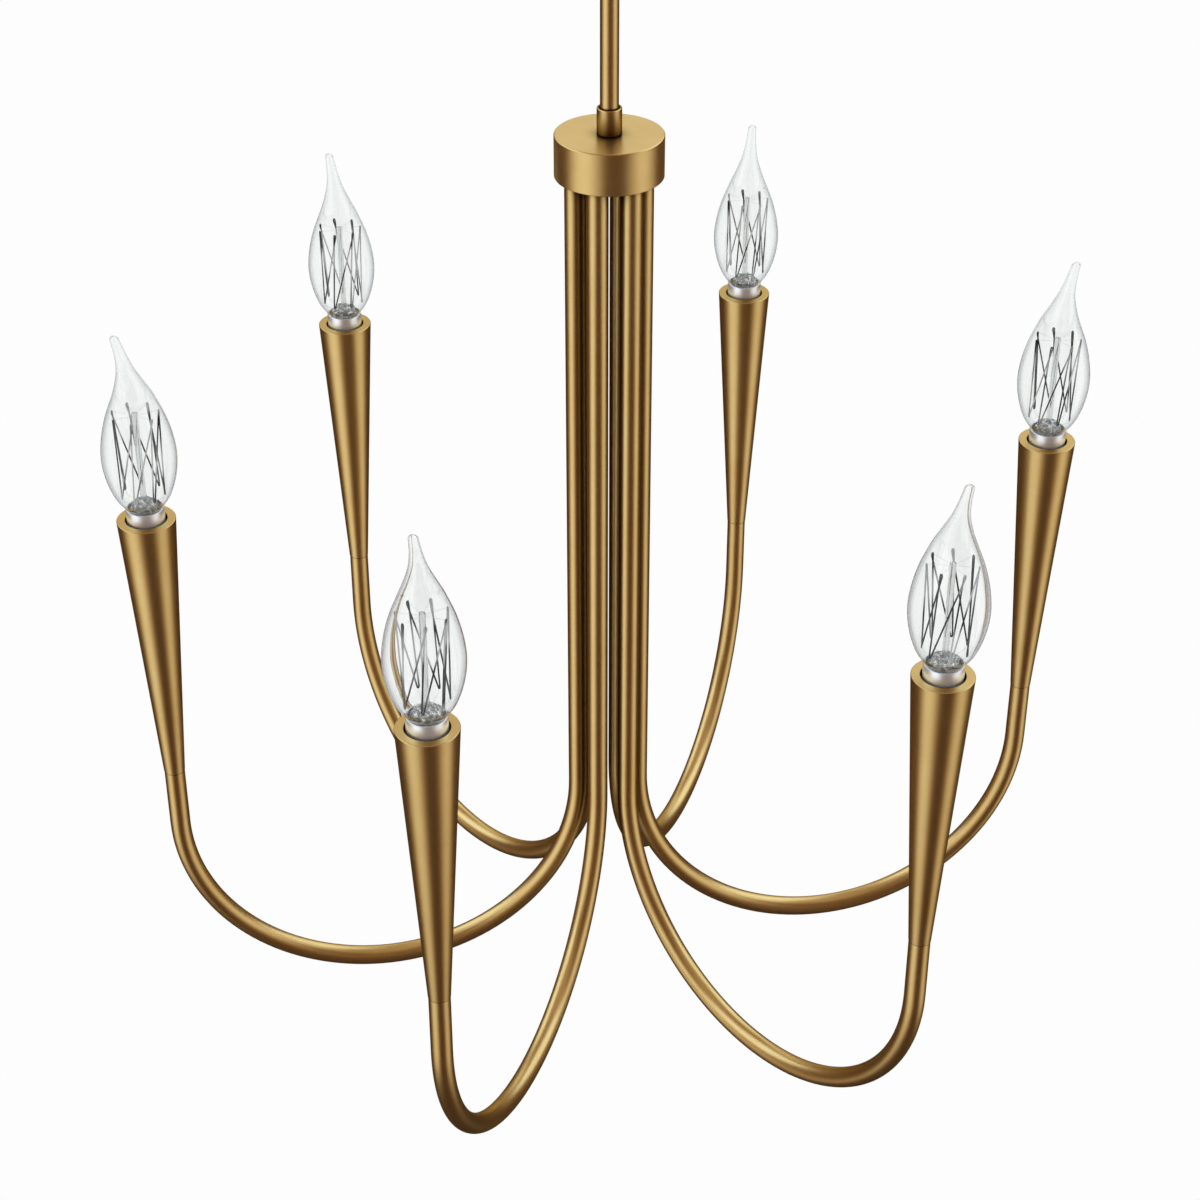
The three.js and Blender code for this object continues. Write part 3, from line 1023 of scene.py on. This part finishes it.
def down_rod():
    bottom, top = levels("down_rod")
    outline = rounded(
        [
            (ROD_RADIUS, bottom, 0.2),
            (ROD_RADIUS, top, 0.2),
            (ROD_BORE, top, 0.2),
            (ROD_BORE, bottom, 0.2),
        ]
    )
    piece("drawn_rod", lathe(outline, segments=64), "fixture", "brass", ["down_rod"])


def rod_collar():
    """The collar sits on the hub, and the rod screws into it down to a step."""
    low, high = levels("rod_collar")
    step = levels("down_rod")[0] - GAP
    bore = ROD_RADIUS + 0.4
    hole = 4.2
    outline = rounded(
        [
            (COLLAR_RADIUS, low, 0.3),
            (COLLAR_RADIUS, high, 0.5),
            (bore, high, 0.2),
            (bore, step, 0.2),
            (hole, step, 0.2),
            (hole, low, 0.2),
        ]
    )
    shape = lathe(outline, segments=64)
    piece("turned_collar", shape, "fixture", "brass", ["rod_collar"], material=FOOT_BRASS)


# ---------------------------------------------------------------- the swivel and the ceiling end


CANOPY_BOTTOM = levels("canopy")[0]
ROD_TOP = levels("down_rod")[1]
PIN_HOLE = lying(cylinder(2.55, -20, 20), PIN_Z)


def round_ended_bar(half_width, straight_end, thickness):
    """A bar in the XZ plane, round about the pin at one end and straight at the other."""
    rise = straight_end - PIN_Z
    down = rise > 0
    first = math.pi if down else 0
    end = half_width if down else -half_width
    outline = arc(half_width, 32, first, first + math.pi) + [(end, rise), (-end, rise)]
    return lying(prism(outline, -thickness / 2, thickness / 2), PIN_Z)


def swivel_yoke():
    """The yoke screws on the canopy's nipple, and its two ears hold the pin."""
    top = CANOPY_BOTTOM - GAP
    shoulder = top - 8.7
    ears = round_ended_bar(half_width=7, straight_end=shoulder + 2, thickness=24)
    steps = [
        ("UNION", block(24, 24, shoulder, top + 1)),
        ("INTERSECT", cylinder(9, PIN_Z - 9, top, sides=96)),
        ("DIFFERENCE", block(20, 8.4, PIN_Z - 10, shoulder)),
        ("DIFFERENCE", cylinder(5.5, shoulder - 1, top + 2)),
        ("DIFFERENCE", PIN_HOLE),
    ]
    shape = carved(ears, steps, bevel=0.3)
    carved_piece("forked_yoke", shape, "swivel", "brass", ["swivel_yoke"])


def swivel_pin():
    """A slotted pin, riveted over at its far end."""
    outline = rounded(
        [
            (0, -11.3, 0),
            (3.6, -11.3, 0.8),
            (3.6, -9.3, 0.2),
            (2.1, -9.3, 0.1),
            (2.1, 9.3, 0.1),
            (3.2, 9.3, 0.2),
            (3.2, 10.8, 0.9),
            (0, 10.8, 0),
        ],
        closed=False,
    )
    slot = ("DIFFERENCE", block(10, 0.8, -12, -10.6))
    shape = carved(lathe(outline, segments=48, closed=False), [slot], bevel=0.08)
    turned = Matrix.Translation((0, 0, PIN_Z)) @ Matrix.Rotation(-math.pi / 2, 4, "X")
    carved_piece("slotted_pin", moved(shape, turned), "swivel", "brass", ["swivel_pin"])


def swivel_knuckle():
    """The knuckle screws on the rod, and its tongue hangs on the pin between the yoke's ears."""
    shoulder = PIN_Z - 9
    tongue = round_ended_bar(half_width=5.6, straight_end=shoulder - 0.5, thickness=7.6)
    steps = [
        ("UNION", tongue),
        ("DIFFERENCE", cylinder(ROD_RADIUS + 0.4, ROD_TOP - 9, ROD_TOP + GAP)),
        ("DIFFERENCE", PIN_HOLE),
    ]
    barrel = cylinder(COLLAR_RADIUS, ROD_TOP - 8, shoulder, sides=96)
    shape = carved(barrel, steps, bevel=0.3)
    carved_piece("tongued_knuckle", shape, "fixture", "brass", ["swivel_knuckle"])


def canopy():
    inner, floor = CANOPY_RADIUS - CANOPY_WALL, CANOPY_BOTTOM + CANOPY_WALL
    hole, stud_hole = 5.5, 2.5
    outline = rounded(
        [
            (CANOPY_RADIUS, CANOPY_BOTTOM, 2.4),
            (CANOPY_RADIUS, 0, 0.3),
            (inner, 0, 0.3),
            (inner, floor, 1.5),
            (hole, floor, 0.2),
            (hole, CANOPY_BOTTOM, 0.2),
        ]
    )
    cuts = []
    for x in (-STUD_OFFSET, STUD_OFFSET):
        cuts.append(("DIFFERENCE", cylinder(stud_hole, CANOPY_BOTTOM - 2, CANOPY_BOTTOM + 4, x)))
    shape = carved(lathe(outline, segments=144), cuts, bevel=0.15)
    carved_piece("spun_canopy", shape, "ceiling_plate", "brass", ["canopy"])


def crossbar():
    """The steel bar that is screwed to the outlet box, with a pair of slots for its screws."""
    half_length, half_width, corner = 52, 10, 3
    outline = []
    for quarter, (x, y) in enumerate(((1, 1), (-1, 1), (-1, -1), (1, -1))):
        start = quarter * math.pi / 2
        centre = (x * (half_length - corner), y * (half_width - corner))
        outline += arc(corner, 8, start, start + math.pi / 2, *centre)
    centre_hole, stud_hole, sides = 5.1, 2.4, 72
    holes = [circle(centre_hole, sides)]
    for side in (-1, 1):
        holes.append(circle(stud_hole, sides, side * STUD_OFFSET))
        holes.append(slot_outline(half_length=5, radius=2.4, x=side * 26))
    cuts = [("DIFFERENCE", prism(hole, -5, 5)) for hole in holes]
    shape = carved(prism(outline, -2, 0), cuts, bevel=0.2)
    carved_piece("punched_crossbar", shape, "ceiling_plate", "steel", ["crossbar"])


def threaded_stud(number, x):
    node = f"canopy_stud_{number}"
    low, high = levels(node)
    radius, end_radius, end = 1.8, 1.5, 0.3
    outline = [Vector((0, low)), Vector((end_radius, low))]
    outline += wall_points(radius, low + end, high - end, count=150)
    outline += [Vector((end_radius, high)), Vector((0, high))]
    shape = lathe(outline, segments=24, closed=False)
    shape = threaded(shape, radius, low, high, pitch=0.8, depth=0.1)
    place = Matrix.Translation((x * MM, 0, 0))
    piece(f"threaded_stud_{number}", shape, "ceiling_plate", "steel", [node], place)


def knurled_nut(number, x):
    top = CANOPY_BOTTOM - GAP
    outline = rounded(
        [
            (0, top - 8, 0),
            (2.6, top - 7.9, 1.5),
            (4.2, top - 6.2, 1.5),
            (4.4, top - 3.4, 0.3),
            (5, top - 3.2, 0.3),
            (5, top, 0.3),
            (2.4, top, 0.2),
            (2.4, top - 5.6, 0.2),
            (0, top - 5.6, 0),
        ],
        closed=False,
    )
    shape = lathe(outline, segments=120, closed=False)
    shape = knurled(shape, radius=4.9, count=30, depth=0.12)
    place = Matrix.Translation((x * MM, 0, 0))
    piece(f"knurled_nut_{number}", shape, "ceiling_plate", "brass", [f"cap_nut_{number}"], place)


def threaded_nipple():
    low, high = levels("canopy_nipple")
    radius, bore = 4.8, 3.3
    outline = wall_points(radius, low, high, count=130)
    outline += [Vector((bore, high)), Vector((bore, low))]
    shape = threaded(lathe(outline, segments=48), radius, low, high, pitch=1.4, depth=0.1)
    piece("threaded_nipple", shape, "ceiling_plate", "steel", ["canopy_nipple"])


def hex_locknut():
    low, high = levels("canopy_locknut")
    hexagon = prism(circle(8.08, sides=6), low, high)
    hole = ("DIFFERENCE", cylinder(5.2, low - 1, high + 1))
    shape = carved(hexagon, [hole], bevel=0.35)
    carved_piece("hex_locknut", shape, "ceiling_plate", "steel", ["canopy_locknut"])


def finish_cad_nodes():
    """Every CAD node that still shows takes the material of its slot."""
    slots = {row["node"]: row["material_slot"] for row in frame["record"]["subparts"]}
    for name, node in frame["nodes"].items():
        node.data.materials.clear()
        node.data.materials.append(MATERIALS[slots[name]])


make_camera()
make_floor()
make_world()
finish_cad_nodes()
for arm in range(1, ARM_COUNT + 1):
    arm_tube(arm)
    candle_cup(arm)
    lamp_socket(arm)
    screw_shell(arm)
    screw_cap(arm)
    glass_envelope(arm)
    stem_rod(arm)
    pinched_foot(arm)
    filament(arm)
hub_cover()
hub_plate()
down_rod()
rod_collar()
swivel_yoke()
swivel_pin()
swivel_knuckle()
canopy()
crossbar()
for stud, offset in enumerate((-STUD_OFFSET, STUD_OFFSET), start=1):
    threaded_stud(stud, offset)
    knurled_nut(stud, offset)
threaded_nipple()
hex_locknut()
